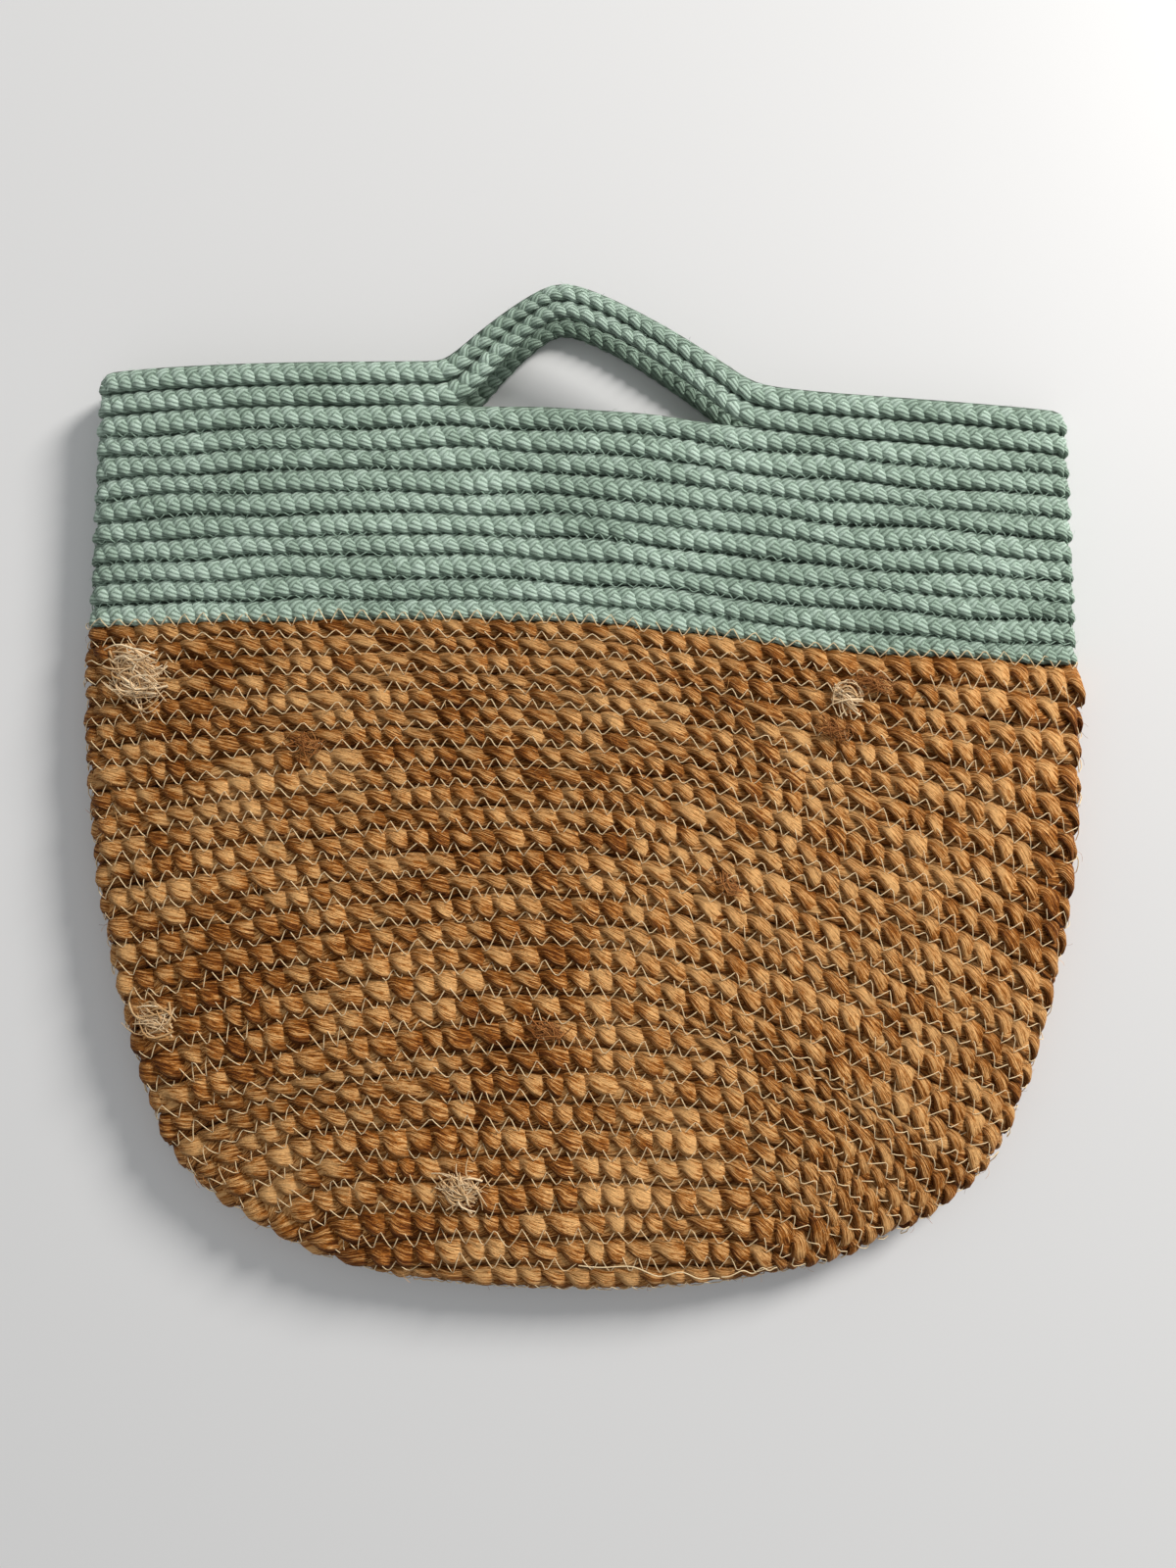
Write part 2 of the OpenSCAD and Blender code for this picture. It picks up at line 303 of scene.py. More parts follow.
# ---------------------------------------------------------------- strands of a braid
class Strands:
    """Lines that tubes are drawn along: each point has a place, a half width and a half thickness."""

    def __init__(self):
        self.place, self.side, self.top, self.run, self.tone, self.ends = [], [], [], [], [], []

    def add(self, place, side, top, run, tone):
        self.place.append(place)
        self.side.append(side)
        self.top.append(top)
        self.run.append(run)
        self.tone.append(np.broadcast_to(tone, len(run)))
        self.ends.append(len(run))

    def guide_object(self, name):
        """A mesh of loose lines that carries what each point needs as attributes."""
        place = np.concatenate(self.place) * MM
        starts = np.concatenate([[0], np.cumsum(self.ends)])[:-1]
        edges = np.concatenate([np.stack([np.arange(s, s + n - 1), np.arange(s + 1, s + n)], -1)
                                for s, n in zip(starts, self.ends)])
        mesh = bpy.data.meshes.new(name)
        mesh.vertices.add(len(place))
        mesh.vertices.foreach_set("co", place.ravel())
        mesh.edges.add(len(edges))
        mesh.edges.foreach_set("vertices", edges.ravel())
        for key, values, size in (("spot", place, 3), ("side", np.concatenate(self.side) * MM, 3),
                                  ("top", np.concatenate(self.top) * MM, 3),
                                  ("run", np.concatenate(self.run), 1),
                                  ("tone", np.concatenate(self.tone), 1)):
            layer = mesh.attributes.new(key, "FLOAT_VECTOR" if size == 3 else "FLOAT", "POINT")
            layer.data.foreach_set("vector" if size == 3 else "value", values.astype(np.float32).ravel())
        made = bpy.data.objects.new(name, mesh)
        bpy.context.scene.collection.objects.link(made)
        return made


# How each braid is plaited, in millimetres: step between points, turn of a strand's wave. As shares of
# a row: swing across it and width of a strand. rise, tilt and press lift the crossings, the upper edge
# and the downward strands; lean is the way the chevrons point; swell, roll and uneven shape the strand.
JUTE = dict(step=1.7, turn=32.0, swing=0.285, width=0.4, rise=0.95, thick=1.65, tilt=0.45, press=0.7, lean=-1,
            swell=0.2, roll=20, uneven=0.34)
COTTON = dict(step=1.45, turn=18.6, swing=0.27, width=0.34, rise=1.0, thick=1.6, tilt=-0.2, press=0.3, lean=1,
              swell=0.16, roll=16, uneven=0.12)
TURN_SHARP = 0.93  # how sharply a strand turns back at the edges of its braid, 0 soft to 1 a corner


def plait(strands, guide, kind, seed):
    """Three strands plaited along a guide; kind's lean says which way the chevrons point."""
    draw = np.random.default_rng(seed)
    turns = max(round(guide.length / kind["turn"]), 1)
    start = draw.uniform(0, math.tau)
    jitter = waves(seed + 7, 4, 30, 90)
    base = math.tau * turns * guide.run / guide.length + start
    base = base + 0.5 * kind["uneven"] / 0.16 * wobble(guide.run, guide.run * 0, jitter)
    roll = math.radians(kind["roll"])
    sharp = math.asin(TURN_SHARP)
    for k in range(3):
        phase = base + math.tau * k / 3
        fat = 1 + kind["uneven"] * wobble(guide.run, guide.run * 0 + 90 * k, waves(seed + 11 * k, 5, 14, 60))
        swing = kind["swing"] * guide.pitch
        sway = np.arcsin(TURN_SHARP * np.sin(phase)) / sharp
        lift = kind["lean"] * kind["rise"] * np.sin(2 * phase) + kind["tilt"] * np.sin(phase)
        lift = lift - kind["press"] * np.cos(phase)
        swell = (1 + kind["swell"] * np.cos(2 * phase)) * fat
        rate = TURN_SHARP * np.cos(phase) / np.sqrt(1 - (TURN_SHARP * np.sin(phase)) ** 2) / sharp
        slant = swing * math.tau * turns / guide.length * rate
        square = np.sqrt(1 + slant**2)
        place = guide.place + (swing * sway)[:, None] * guide.across + lift[:, None] * guide.out
        level = (guide.across - slant[:, None] * guide.along) / square[:, None]
        side = level * math.cos(roll) - guide.out * math.sin(roll)
        upright = guide.out * math.cos(roll) + level * math.sin(roll)
        thick = kind["thick"] * (0.75 + 0.25 * guide.pitch / 9.5) * fat
        drift = wobble(guide.run, guide.run * 0, waves(seed + 31 * k + 5, 5, 12, 110))
        # Random tone along each strand, plus painted light: the raised crossings are a little lighter.
        tone = 0.5 + 0.3 * np.clip(2.2 * drift, -1, 1) + 0.05 * lift
        strands.add(place, side * (kind["width"] * guide.pitch * swell)[:, None], upright * thick[:, None],
                    guide.run + 3000 * k + 517 * (seed % 97), tone)


def backing(strands, guide, tone):
    """A thin strip under the braid, so that nothing shows through between its strands; its dark tone is
    painted shade in those gaps.
    """
    some = slice(None, None, 3)
    keep = np.unique(np.concatenate([np.arange(len(guide.run))[some], [len(guide.run) - 1]]))
    side = guide.across[keep] * (0.5 * guide.pitch[keep] + 0.2)[:, None]
    strands.add(guide.place[keep], side, guide.out[keep] * 1.1, guide.run[keep], tone)


def zigzag(strands, guide, width, length, high, thread, seed):
    """A sewing thread laid in a zigzag along a guide; its corners sink into the braid."""
    jitter = waves(seed, 4, 18, 60)
    saw = guide.run / length + 0.5 * wobble(guide.run, guide.run * 0, jitter)
    corner = np.abs((saw % 1) * 2 - 1) * 2 - 1
    tall = width * (1 + 0.5 * wobble(guide.run, guide.run * 0 + 50, jitter))
    over = high - 1.1 * np.abs(corner) ** 3 + 1.5 * wobble(guide.run, guide.run * 0 + 80, jitter)
    place = guide.place + (tall * corner * guide.pitch)[:, None] * guide.across + over[:, None] * guide.out
    along = unit(np.gradient(place, axis=0))
    side = unit(np.cross(guide.out, along)) * thread
    top = unit(np.cross(along, side)) * thread
    strands.add(place, side, top, guide.run + 40 * seed, 0.5)


# ---------------------------------------------------------------- geometry node trees
class Wire:
    """A socket of a node tree with plain arithmetic, so that a formula reads as one."""

    def __init__(self, tree, socket):
        self.tree, self.socket = tree, socket

    def feed(self, socket, value):
        if isinstance(value, Wire):
            self.tree.links.new(value.socket, socket)
        else:
            socket.default_value = value

    def math(self, what, other=0.0):
        node = self.tree.nodes.new("ShaderNodeMath")
        node.operation = what
        self.feed(node.inputs[0], self)
        self.feed(node.inputs[1], other)
        return Wire(self.tree, node.outputs[0])

    def scaled(self, by):
        node = self.tree.nodes.new("ShaderNodeVectorMath")
        node.operation = "SCALE"
        self.feed(node.inputs[0], self)
        self.feed(node.inputs["Scale"], by)
        return Wire(self.tree, node.outputs[0])

    def plus(self, other):
        node = self.tree.nodes.new("ShaderNodeVectorMath")
        self.feed(node.inputs[0], self)
        self.feed(node.inputs[1], other)
        return Wire(self.tree, node.outputs[0])


def named(tree, name, kind):
    node = tree.nodes.new("GeometryNodeInputNamedAttribute")
    node.data_type = kind
    node.inputs["Name"].default_value = name
    return Wire(tree, node.outputs["Attribute"])


def new_tree(name, inputs):
    """A geometry node tree with a mesh in, a mesh out and named inputs."""
    tree = bpy.data.node_groups.new(name, "GeometryNodeTree")
    tree.interface.new_socket("Geometry", in_out="INPUT", socket_type="NodeSocketGeometry")
    tree.interface.new_socket("Geometry", in_out="OUTPUT", socket_type="NodeSocketGeometry")
    for key, kind in inputs:
        tree.interface.new_socket(key, in_out="INPUT", socket_type="NodeSocket" + kind)
    return tree, tree.nodes.new("NodeGroupInput"), tree.nodes.new("NodeGroupOutput")


def tube_tree():
    """Draws a tube along each line of a guide mesh, with the half width and thickness it carries."""
    tree, given, made = new_tree("tubes_along_guides", [("Sides", "Int"), ("Material", "Material")])
    link, add = tree.links.new, tree.nodes.new
    line = add("GeometryNodeMeshToCurve")
    link(given.outputs["Geometry"], line.inputs["Mesh"])
    ring = add("GeometryNodeCurvePrimitiveCircle")
    link(given.outputs["Sides"], ring.inputs["Resolution"])
    ring.inputs["Radius"].default_value = MM
    index = Wire(tree, add("GeometryNodeInputIndex").outputs[0])
    turn = index.math("MULTIPLY", math.tau).math("DIVIDE", Wire(tree, given.outputs["Sides"]))
    kept = add("GeometryNodeCaptureAttribute")
    kept.capture_items.new("FLOAT", "Turn")
    link(ring.outputs["Curve"], kept.inputs["Geometry"])
    link(turn.socket, kept.inputs["Turn"])
    tube = add("GeometryNodeCurveToMesh")
    link(line.outputs["Curve"], tube.inputs["Curve"])
    link(kept.outputs["Geometry"], tube.inputs["Profile Curve"])
    tube.inputs["Fill Caps"].default_value = True
    turn = Wire(tree, kept.outputs["Turn"])
    wide, tall = turn.math("COSINE"), turn.math("SINE")
    spot = named(tree, "spot", "FLOAT_VECTOR")
    around = named(tree, "side", "FLOAT_VECTOR").scaled(wide)
    around = around.plus(named(tree, "top", "FLOAT_VECTOR").scaled(tall))
    place = add("GeometryNodeSetPosition")
    link(tube.outputs["Mesh"], place.inputs["Geometry"])
    link(spot.plus(around).socket, place.inputs["Position"])
    both = add("ShaderNodeCombineXYZ")
    link(wide.socket, both.inputs[0])
    link(tall.socket, both.inputs[1])
    link(named(tree, "run", "FLOAT").socket, both.inputs[2])
    store = add("GeometryNodeStoreNamedAttribute")
    store.data_type = "FLOAT_VECTOR"
    store.inputs["Name"].default_value = "fibre"
    link(place.outputs["Geometry"], store.inputs["Geometry"])
    link(both.outputs[0], store.inputs["Value"])
    soft = add("GeometryNodeSetShadeSmooth")
    link(store.outputs["Geometry"], soft.inputs["Geometry"])
    finish = add("GeometryNodeSetMaterial")
    real = add("GeometryNodeRealizeInstances")
    link(soft.outputs["Geometry"], real.inputs["Geometry"])
    link(real.outputs["Geometry"], finish.inputs["Geometry"])
    link(given.outputs["Material"], finish.inputs["Material"])
    link(finish.outputs["Geometry"], made.inputs["Geometry"])
    return tree


def fuzz_tree():
    """Adds short bent fibres that stand off a braid, spread over its faces."""
    inputs = [("Density", "Float"), ("Length", "Float"), ("Radius", "Float"), ("Seed", "Int"),
              ("Material", "Material")]
    tree, given, made = new_tree("loose_fibres", inputs)
    link, add = tree.links.new, tree.nodes.new
    spread = add("GeometryNodeDistributePointsOnFaces")
    link(given.outputs["Geometry"], spread.inputs["Mesh"])
    link(given.outputs["Density"], spread.inputs["Density"])
    link(given.outputs["Seed"], spread.inputs["Seed"])
    bow = add("GeometryNodeCurveQuadraticBezier")
    bow.inputs["Resolution"].default_value = 4
    bow.inputs["Start"].default_value = (0, 0, -0.15)
    bow.inputs["Middle"].default_value = (0.1, 0, 0.55)
    bow.inputs["End"].default_value = (0.95, 0.2, 0.35)
    sized = add("GeometryNodeTransform")
    link(bow.outputs["Curve"], sized.inputs["Geometry"])
    link(given.outputs["Length"], sized.inputs["Scale"])
    ring = add("GeometryNodeCurvePrimitiveCircle")
    ring.inputs["Resolution"].default_value = 3
    link(given.outputs["Radius"], ring.inputs["Radius"])
    hair = add("GeometryNodeCurveToMesh")
    link(sized.outputs["Geometry"], hair.inputs["Curve"])
    link(ring.outputs["Curve"], hair.inputs["Profile Curve"])
    hair.inputs["Fill Caps"].default_value = True
    spin = add("FunctionNodeRandomValue")
    spin.inputs["Max"].default_value = math.tau
    upright = add("FunctionNodeAxisAngleToRotation")
    upright.inputs["Axis"].default_value = (0, 0, 1)
    link(spin.outputs["Value"], upright.inputs["Angle"])
    turned = add("FunctionNodeRotateRotation")
    turned.rotation_space = "LOCAL"
    link(spread.outputs["Rotation"], turned.inputs[0])
    link(upright.outputs["Rotation"], turned.inputs[1])
    size = add("FunctionNodeRandomValue")
    size.inputs["Min"].default_value = 0.35
    size.inputs["Max"].default_value = 1.25
    size.inputs["Seed"].default_value = 4
    copies = add("GeometryNodeInstanceOnPoints")
    link(spread.outputs["Points"], copies.inputs["Points"])
    link(hair.outputs["Mesh"], copies.inputs["Instance"])
    link(turned.outputs[0], copies.inputs["Rotation"])
    link(size.outputs["Value"], copies.inputs["Scale"])
    real = add("GeometryNodeRealizeInstances")
    link(copies.outputs["Instances"], real.inputs["Geometry"])
    finish = add("GeometryNodeSetMaterial")
    link(real.outputs["Geometry"], finish.inputs["Geometry"])
    link(given.outputs["Material"], finish.inputs["Material"])
    join = add("GeometryNodeJoinGeometry")
    link(finish.outputs["Geometry"], join.inputs["Geometry"])
    link(given.outputs["Geometry"], join.inputs["Geometry"])
    link(join.outputs["Geometry"], made.inputs["Geometry"])
    return tree


TUBES = tube_tree()
FUZZ = fuzz_tree()


def run_tree(obj, tree, **values):
    """Runs a geometry node tree on an object and keeps the plain mesh it makes."""
    step = obj.modifiers.new(tree.name, "NODES")
    step.node_group = tree
    sockets = {s.name: s.identifier for s in tree.interface.items_tree if s.in_out == "INPUT"}
    for key, value in values.items():
        step[sockets[key]] = value
    bpy.context.view_layer.update()
    shown = obj.evaluated_get(bpy.context.evaluated_depsgraph_get())
    mesh = bpy.data.meshes.new_from_object(shown)
    obj.modifiers.clear()
    old, obj.data = obj.data, mesh
    bpy.data.meshes.remove(old)
    return obj


def outwards(mesh):
    """Turns a mesh's faces round if they point inwards, told by the sign of its volume."""
    mesh.calc_loop_triangles()
    corners = np.zeros(len(mesh.loop_triangles) * 3, np.int32)
    mesh.loop_triangles.foreach_get("vertices", corners)
    co = np.zeros(len(mesh.vertices) * 3, np.float32)
    mesh.vertices.foreach_get("co", co)
    a, b, c = co.reshape(-1, 3).astype(float)[corners.reshape(-1, 3)].transpose(1, 0, 2)
    if (a * np.cross(b, c)).sum() < 0:
        mesh.flip_normals()


def tubes(name, strands, material, sides=8):
    """The strands drawn as one mesh object of closed tubes."""
    obj = run_tree(strands.guide_object(name), TUBES, Sides=sides, Material=material)
    outwards(obj.data)
    for key in ("spot", "side", "top", "run"):
        obj.data.attributes.remove(obj.data.attributes[key])
    return obj


def joined(name, pieces):
    """Several mesh objects made one."""
    with bpy.context.temp_override(active_object=pieces[0], selected_editable_objects=pieces,
                                   object=pieces[0], selected_objects=pieces):
        bpy.ops.object.join()
    pieces[0].name = pieces[0].data.name = name
    return pieces[0]


# ---------------------------------------------------------------- materials
def new_material(name):
    material = bpy.data.materials.new(name)
    material.use_nodes = True
    return material, material.node_tree, material.node_tree.nodes["Principled BSDF"]


def noise(tree, vector, scale, detail=3.0, rough=0.55):
    node = tree.nodes.new("ShaderNodeTexNoise")
    node.inputs["Scale"].default_value = scale
    node.inputs["Detail"].default_value = detail
    node.inputs["Roughness"].default_value = rough
    tree.links.new(vector, node.inputs["Vector"])
    return node.outputs["Fac"]


def attribute(tree, name):
    node = tree.nodes.new("ShaderNodeAttribute")
    node.attribute_name = name
    return node


def stretched(tree, vector, scale):
    node = tree.nodes.new("ShaderNodeMapping")
    node.inputs["Scale"].default_value = scale
    tree.links.new(vector, node.inputs["Vector"])
    return node.outputs["Vector"]


def ramp(tree, value, stops):
    node = tree.nodes.new("ShaderNodeValToRGB")
    while len(node.color_ramp.elements) < len(stops):
        node.color_ramp.elements.new(0.5)
    for element, (at, colour) in zip(node.color_ramp.elements, stops):
        element.position = at
        element.color = (*colour, 1)
    tree.links.new(value, node.inputs["Fac"])
    return node.outputs["Color"]


def calc(tree, what, a, b=0.0):
    node = tree.nodes.new("ShaderNodeMath")
    node.operation = what
    for socket, value in zip(node.inputs, (a, b)):
        if isinstance(value, bpy.types.NodeSocket):
            tree.links.new(value, socket)
        else:
            socket.default_value = value
    return node.outputs[0]


def bump(tree, shader, height, strength, distance):
    node = tree.nodes.new("ShaderNodeBump")
    node.inputs["Strength"].default_value = strength
    node.inputs["Distance"].default_value = distance
    tree.links.new(height, node.inputs["Height"])
    tree.links.new(node.outputs["Normal"], shader.inputs["Normal"])


def plus_share(tree, base, extra, middle, share):
    """base + (extra - middle) * share"""
    return calc(tree, "ADD", base, calc(tree, "MULTIPLY", calc(tree, "SUBTRACT", extra, middle), share))


def painted_top_light(tree, fibre):
    """How high on its strand a place lies: 1 along the top, 0 in the grooves beside it; used as painted light
    on the tops and painted shade in the grooves.
    """
    split = tree.nodes.new("ShaderNodeSeparateXYZ")
    tree.links.new(fibre, split.inputs[0])
    return calc(tree, "MAXIMUM", split.outputs["Y"], 0.0)


def jute_material(name, dark, middle, light, lift=1.0):
    """Long flat bast fibres: fine streaks along the strand, paler and browner stretches, with painted light
    on the strand tops and painted shade in the grooves beside them.
    """
    material, tree, shader = new_material(name)
    fibre = attribute(tree, "fibre").outputs["Vector"]
    tone = attribute(tree, "tone").outputs["Fac"]
    place = tree.nodes.new("ShaderNodeTexCoord").outputs["Object"]
    streak = noise(tree, stretched(tree, fibre, (2.8, 2.8, 0.05)), 2.2, 4.0, 0.75)
    fine = noise(tree, stretched(tree, fibre, (6.0, 6.0, 0.1)), 2.4, 2.0, 0.6)
    patch = noise(tree, place, 18.0, 3.0, 0.6)
    lines = calc(tree, "ADD", calc(tree, "MULTIPLY", streak, 0.6), calc(tree, "MULTIPLY", fine, 0.4))
    mix = plus_share(tree, plus_share(tree, lines, streak, 0.5, 0.9), tone, 0.5, 0.3)
    mix = plus_share(tree, mix, patch, 0.5, 0.4)
    # Painted light and shade: the top of each strand lighter, the grooves beside it darker.
    mix = plus_share(tree, mix, painted_top_light(tree, fibre), 0.72, 0.12)
    colour = ramp(tree, mix, [(0.34, dark), (0.5, middle), (0.67, light)])
    tree.links.new(colour, shader.inputs["Base Color"])
    shader.inputs["Roughness"].default_value = 0.62
    shader.inputs["Specular IOR Level"].default_value = 0.12
    bump(tree, shader, lines, 1.0, 0.0036 * lift)
    return material


def cotton_material(name, dark, middle, light):
    """Soft cotton yarns that lie side by side along the strand, with a slight twist; painted shade darkens
    the troughs between the yarns and the grooves beside each strand, and painted light brightens the strand
    tops.
    """
    material, tree, shader = new_material(name)
    fibre = attribute(tree, "fibre").outputs["Vector"]
    tone = attribute(tree, "tone").outputs["Fac"]
    place = tree.nodes.new("ShaderNodeTexCoord").outputs["Object"]
    split = tree.nodes.new("ShaderNodeSeparateXYZ")
    tree.links.new(fibre, split.inputs[0])
    turn = calc(tree, "ARCTAN2", split.outputs["Y"], split.outputs["X"])
    lines = calc(tree, "MULTIPLY", turn, 9.0)
    twist = calc(tree, "MULTIPLY", split.outputs["Z"], 0.55)
    yarn = calc(tree, "SINE", calc(tree, "ADD", lines, twist))
    yarn = calc(tree, "MULTIPLY_ADD", yarn, 0.5)
    yarn.node.inputs[2].default_value = 0.5
    round_yarn = calc(tree, "POWER", yarn, 0.6)
    fuzz = noise(tree, stretched(tree, fibre, (6.0, 6.0, 1.6)), 2.0, 3.0, 0.7)
    cloud = noise(tree, place, 22.0, 3.0, 0.6)
    # Painted shade: the colour is darker in the troughs between the yarns, which are also bumps in the height
    # below.
    mix = calc(tree, "ADD", calc(tree, "MULTIPLY", round_yarn, 0.3), calc(tree, "MULTIPLY", fuzz, 0.55))
    mix = plus_share(tree, mix, cloud, 0.5, 0.5)
    mix = plus_share(tree, mix, tone, 0.5, 0.3)
    # Painted light and shade: the top of each strand lighter, the grooves beside it darker.
    mix = plus_share(tree, mix, painted_top_light(tree, fibre), 0.72, 0.16)
    colour = ramp(tree, mix, [(0.2, dark), (0.46, middle), (0.72, light)])
    tree.links.new(colour, shader.inputs["Base Color"])
    shader.inputs["Roughness"].default_value = 0.95
    shader.inputs["Specular IOR Level"].default_value = 0.12
    shader.inputs["Sheen Weight"].default_value = 0.15
    shader.inputs["Sheen Roughness"].default_value = 0.6
    height = calc(tree, "ADD", calc(tree, "MULTIPLY", round_yarn, 0.6), calc(tree, "MULTIPLY", fuzz, 0.7))
    bump(tree, shader, height, 1.0, 0.0015)
    return material


def thread_material(name, dark, light):
    """A twisted sewing thread."""
    material, tree, shader = new_material(name)
    fibre = attribute(tree, "fibre").outputs["Vector"]
    speck = noise(tree, stretched(tree, fibre, (1.5, 1.5, 1.2)), 2.0, 2.0, 0.6)
    colour = ramp(tree, speck, [(0.3, dark), (0.7, light)])
    tree.links.new(colour, shader.inputs["Base Color"])
    shader.inputs["Roughness"].default_value = 0.6
    shader.inputs["Sheen Weight"].default_value = 0.1
    bump(tree, shader, speck, 0.5, 0.0003)
    return material


JUTE_BRAID = jute_material("jute_braid", (0.14, 0.034, 0.003), (0.5, 0.168, 0.024), (1.0, 0.55, 0.21))
FINE_LIFT = 0.03  # single fibres are too thin for the relief of a whole strand
JUTE_PALE = jute_material("jute_pale_fibre", (0.5, 0.28, 0.11), (0.8, 0.55, 0.3), (1.0, 0.82, 0.56),
                          FINE_LIFT)
JUTE_BROWN = jute_material("jute_brown_fibre", (0.14, 0.04, 0.008), (0.34, 0.12, 0.03),
                           (0.56, 0.25, 0.08), FINE_LIFT)
COTTON_BRAID = cotton_material("cotton_braid", (0.16, 0.235, 0.17), (0.43, 0.585, 0.455), (0.76, 0.95, 0.8))
JUTE_THREAD = thread_material("jute_thread", (0.72, 0.5, 0.25), (1.0, 0.8, 0.5))
COTTON_THREAD = thread_material("cotton_thread", (0.2, 0.3, 0.22), (0.45, 0.6, 0.48))

# ---------------------------------------------------------------- pieces
# Each piece's rows run from panel to panel round the side folds, and the rim's rows rise into the handles
# above the rim.
# Painted shade: the strips under the braids get a dark tone, so that the gaps between strands and rows look
# shaded.
GAP_SHADE_TONE = 0.12  # tone of the strips under the braids
BACKING_SIDES = 6


def round_the_bag(piece, *nodes):
    """A piece that crosses both side folds: its transform is baked into its mesh, and the frame's parts named
    in nodes are hidden.
    """
    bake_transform(piece)
    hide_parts(*nodes)


def fuzzed(braid, fuzz, seed, material):
    """A braid with loose fibres on it; fuzz is how many a square metre, how long and how thick."""
    return run_tree(braid, FUZZ, Density=fuzz[0], Length=fuzz[1], Radius=fuzz[2], Seed=seed,
                    Material=material)


def row_piece(name, guides, kind, material, seed, fuzz):
    """Braided rows sewn together, with their loose fibres, as one mesh."""
    strands = Strands()
    for n, guide in enumerate(guides):
        plait(strands, guide, kind, seed + 13 * n)
    braid = fuzzed(tubes(name + "_braid", strands, material), fuzz, seed, material)
    under = Strands()
    for guide in guides:
        backing(under, guide, GAP_SHADE_TONE)
    return joined(name, [braid, tubes(name + "_under", under, material, BACKING_SIDES)])


JUTE_FUZZ = (9000.0, 4.5 * MM, 0.055 * MM)
COTTON_FUZZ = (31000.0, 2.0 * MM, 0.055 * MM)


def jute_rows():
    """The jute coil, in the groups that the frame has."""
    first = 0
    for k in range(math.ceil((JUTE_ROWS + 1) / JUTE_GROUP)):
        last = min((k + 1) * JUTE_GROUP - 1, JUTE_ROWS)
        guides = [row_guide(v, JUTE["step"]) if v else core_guide(JUTE["step"])
                  for v in range(first, last + 1)]
        first = last + 1
        name = f"jute_rows_{k + 1:02d}"
        piece = row_piece(name, guides, JUTE, JUTE_BRAID, 100 + 40 * k, JUTE_FUZZ)
        round_the_bag(piece, "front_" + name, "back_" + name)


def cotton_rows():
    """The cotton coil below the hand holes."""
    for k in range((COTTON_ROWS - 2) // COTTON_GROUP):
        first = JUTE_ROWS + 1 + k * COTTON_GROUP
        guides = [row_guide(first + n, COTTON["step"]) for n in range(COTTON_GROUP)]
        name = f"cotton_rows_{k + 1:02d}"
        piece = row_piece(name, guides, COTTON, COTTON_BRAID, 700 + 40 * k, COTTON_FUZZ)
        round_the_bag(piece, "front_" + name, "back_" + name)


HANDLE_CUTS = (-76.0, 96.0)  # sideways places where the rim's rows become the handle's
RIM_SEEDS = {"outer": 911, "inner": 953}


def stretch(guide, test):
    """The part of a guide where test holds, and one point more so that neighbouring parts meet."""
    keep = np.flatnonzero(test)
    return guide.part(np.arange(keep[0], min(keep[-1] + 2, len(guide.run))))


def cut_guide(guide):
    """A rim row cut into its left and right stretches and its two handle arches."""
    x, z = guide.place[:, 0], guide.place[:, 2]
    front = z > FOLD_R + FOLD_GAP / 2
    arch = (x > HANDLE_CUTS[0]) & (x < HANDLE_CUTS[1])
    order = np.arange(len(x))
    half = len(x) / 2
    return {
        "rim_left": stretch(guide, ~arch & (x < 0)),
        "rim_right": stretch(guide, ~arch & (x > 0)),
        "front_handle": stretch(guide, arch & front),
        "back_left": stretch(guide, arch & ~front & (order < half)),
        "back_right": stretch(guide, arch & ~front & (order > half)),
    }


def rim_and_handles():
    """The last two cotton rows, which run along the rim and rise off it to make the handles."""
    outer = row_guide(RIM_ROW - 0.5, COTTON["step"], handle=True)
    inner = row_guide(RIM_ROW - 1.5, COTTON["step"], handle=True)
    cut = {"outer": cut_guide(outer), "inner": cut_guide(inner)}
    for side in ("rim_left", "rim_right"):
        made = []
        for which in ("outer", "inner"):
            strands, under = Strands(), Strands()
            plait(strands, cut[which][side], COTTON, RIM_SEEDS[which])
            backing(under, cut[which][side], GAP_SHADE_TONE)
            braid = tubes(side + which, strands, COTTON_BRAID)
            made.append(fuzzed(braid, COTTON_FUZZ, RIM_SEEDS[which], COTTON_BRAID))
            made.append(tubes(side + which + "under", under, COTTON_BRAID, BACKING_SIDES))
        piece = joined(side, made)
        round_the_bag(piece, "front_" + side, "back_" + side)
    for side, parts in (("front", ["front_handle"]), ("back", ["back_left", "back_right"])):
        for which in ("outer", "inner"):
            strands, under = Strands(), Strands()
            for part in parts:
                plait(strands, cut[which][part], COTTON, RIM_SEEDS[which])
                backing(under, cut[which][part], GAP_SHADE_TONE)
            name = f"{side}_handle_{which}"
            braid = tubes(name, strands, COTTON_BRAID)
            fuzzed(braid, COTTON_FUZZ, RIM_SEEDS[which] + 1, COTTON_BRAID)
            piece = joined(name, [braid, tubes(name + "under", under, COTTON_BRAID, BACKING_SIDES)])
            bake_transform(piece)
            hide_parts(f"{side}_handle_{which}_braid")


def stitching():
    """Zigzag seams between all the rows."""
    threads = Strands()
    for n in range(JUTE_ROWS + 1):
        guide = row_guide(n + 0.6, 1.35)
        zigzag(threads, guide, 0.32, 8.4, 3.3, 0.22, 300 + n)
    piece = tubes("jute_stitching", threads, JUTE_THREAD, sides=4)
    round_the_bag(piece, "front_jute_stitching", "back_jute_stitching")
    threads = Strands()
    for n in range(1, COTTON_ROWS - 2):
        guide = row_guide(BORDER_ROW + n, 1.2)
        zigzag(threads, guide, 0.16, 6.4, 1.6, 0.22, 400 + n)
    piece = tubes("cotton_stitching", threads, COTTON_THREAD, sides=4)
    round_the_bag(piece, "front_cotton_stitching", "back_cotton_stitching")


def on_front(x, y):
    """The place on the front panel's face above a point, and the ways across the bag and out of it."""
    flat = y + slope_down(x) * upper_share(y)
    near = placed(np.array([x, x + 2, x]), np.array([flat, flat, flat + 2]), True, FOLD_R)
    right, up = unit(near[1] - near[0]), unit(near[2] - near[0])
    return near[0], right, up, unit(np.cross(right, up))


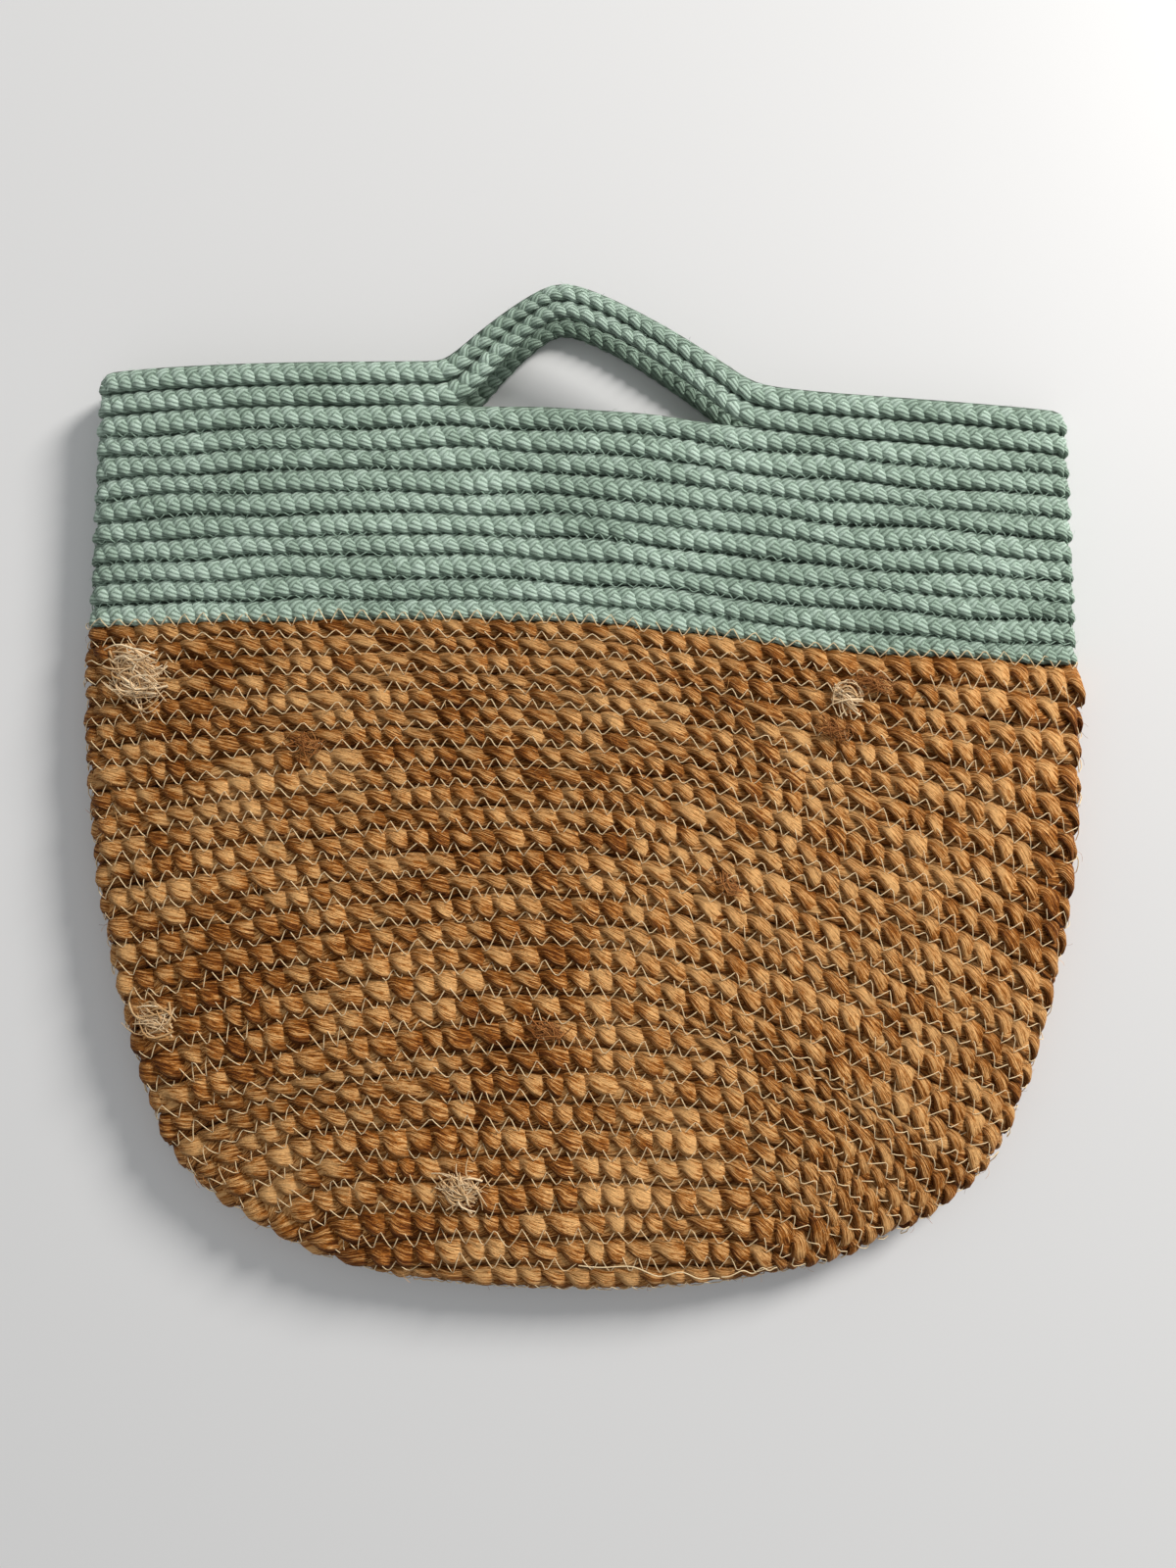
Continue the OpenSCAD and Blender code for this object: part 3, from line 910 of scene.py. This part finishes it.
def tuft(strands, x, y, count, wide, tall, long, high, thin, seed):
    """A spray of loose fibres on the front panel, wide by tall, each one bowed and up to long."""
    draw = np.random.default_rng(seed)
    spot, right, up, out = on_front(x, y)
    u = np.linspace(0, 1, 7)[:, None]
    for n in range(count):
        turn = draw.normal(-0.35, 0.55) + math.pi * draw.integers(0, 2)
        way = math.cos(turn) * right + math.sin(turn) * up
        bend = math.cos(turn + 1.6) * right + math.sin(turn + 1.6) * up
        reach = long * draw.uniform(0.4, 1)
        base = spot + draw.normal(0, 0.4) * wide * right + draw.normal(0, 0.4) * tall * up - reach / 2 * way
        rise = high * draw.uniform(0.1, 1) * np.sin(math.pi * u * draw.uniform(0.6, 1)) - 0.6
        place = base + reach * u * way + rise * out + draw.normal(0, 0.2) * reach * np.sin(math.pi * u) * bend
        along = unit(np.gradient(place, axis=0))
        side = unit(np.cross(out, along))
        fat = thin * draw.uniform(0.5, 1.3) * (1 - 0.6 * u)
        strands.add(place, side * fat * 1.6, unit(np.cross(along, side)) * fat * 0.7,
                    20 * n + u[:, 0] * reach, draw.uniform(0, 1))


def loose_thread(strands, start, end, bow, high, thick):
    """One end of sewing thread lying loose between two points, given as x, y on the bag."""
    u = np.linspace(0, 1, 24)
    x = start[0] + (end[0] - start[0]) * u
    y = start[1] + (end[1] - start[1]) * u + bow * np.sin(math.pi * u) * np.sin(2.3 * math.tau * u * u)
    spots = [on_front(a, b) for a, b in zip(x, y)]
    place = np.array([s[0] + (high + 0.5 * math.sin(9 * w)) * s[3] for s, w in zip(spots, u)])
    along = unit(np.gradient(place, axis=0))
    side = unit(np.cross(np.array([s[3] for s in spots]), along)) * thick
    strands.add(place, side, unit(np.cross(along, side)) * thick, 70 * u, 0.5)


def loose_ends():
    """Tufts and splices of jute that stand off the coil, and ends of thread."""
    pale, brown, thread = Strands(), Strands(), Strands()
    tuft(pale, -192, 270, 150, 9, 11, 19, 4.0, 0.34, 1)
    tuft(pale, -52, 49, 80, 6, 7, 17, 3.6, 0.34, 2)
    tuft(pale, -186, 122, 45, 6, 7, 18, 2.6, 0.34, 3)
    tuft(pale, 112, 260, 24, 3, 4, 15, 3.0, 0.34, 4)
    tuft(brown, 124, 266, 60, 9, 3, 12, 4.0, 0.16, 5)
    tuft(brown, 107, 246, 60, 7, 3, 11, 4.0, 0.16, 6)
    tuft(brown, -15, 118, 40, 7, 3, 13, 2.6, 0.2, 7)
    tuft(brown, -118, 240, 30, 6, 2, 14, 2.4, 0.2, 8)
    tuft(brown, 62, 180, 30, 6, 2, 14, 2.4, 0.2, 9)
    loose_thread(thread, (-2, 15.7), (59, 9.6), 2.0, 1.6, 0.26)
    loose_thread(thread, (60, 9.6), (84, 14), 1.5, 1.0, 0.26)
    loose_thread(thread, (150, 36), (158, 19), 1.5, 1.2, 0.17)
    made = [tubes("pale_tufts", pale, JUTE_PALE, sides=4), tubes("brown_tufts", brown, JUTE_BROWN, sides=4),
            tubes("thread_ends", thread, JUTE_THREAD, sides=5)]
    piece = joined("loose_fibres", made)
    round_the_bag(piece)


jute_rows()
cotton_rows()
rim_and_handles()
stitching()
loose_ends()


# ---------------------------------------------------------------- floor, light and camera
FLOOR_REACH, FLOOR_LOW = 2.0, -0.6 * MM


def floor():
    mesh = bpy.data.meshes.new("floor")
    corners = ((-1, -1), (1, -1), (1, 1), (-1, 1))
    mesh.from_pydata([(FLOOR_REACH * x, FLOOR_REACH * y, FLOOR_LOW) for x, y in corners], [], [(0, 1, 2, 3)])
    made = bpy.data.objects.new("floor", mesh)
    bpy.context.scene.collection.objects.link(made)
    material, _, shader = new_material("pale_floor")
    shader.inputs["Base Color"].default_value = (0.78, 0.77, 0.765, 1)
    shader.inputs["Roughness"].default_value = 0.55
    mesh.materials.append(material)


def area_light(name, place, target, size, power, colour):
    data = bpy.data.lights.new(name, "AREA")
    data.shape = "DISK"
    data.size = size
    data.energy = power
    data.color = colour
    made = bpy.data.objects.new(name, data)
    made.location = place
    made.rotation_euler = (Vector(target) - Vector(place)).to_track_quat("-Z", "Y").to_euler()
    bpy.context.scene.collection.objects.link(made)


def light_and_camera():
    scene = bpy.context.scene
    area_light("window", (1.9, 1.7, 1.3), (0, 0, 0), 0.85, 96, (1.0, 0.985, 0.96))
    world = bpy.data.worlds.new("room")
    world.use_nodes = True
    world.node_tree.nodes["Background"].inputs["Color"].default_value = (0.95, 0.98, 1.0, 1)
    world.node_tree.nodes["Background"].inputs["Strength"].default_value = 0.42
    scene.world = world
    scene.view_settings.view_transform = "Standard"
    data = bpy.data.cameras.new("camera")
    data.sensor_width = 36
    data.lens = 27.04
    data.clip_start, data.clip_end = 0.01, 20
    camera = bpy.data.objects.new("camera", data)
    camera.location = (2.1 * MM, 4.4 * MM, 531 * MM)
    scene.collection.objects.link(camera)
    scene.camera = camera


floor()
light_and_camera()
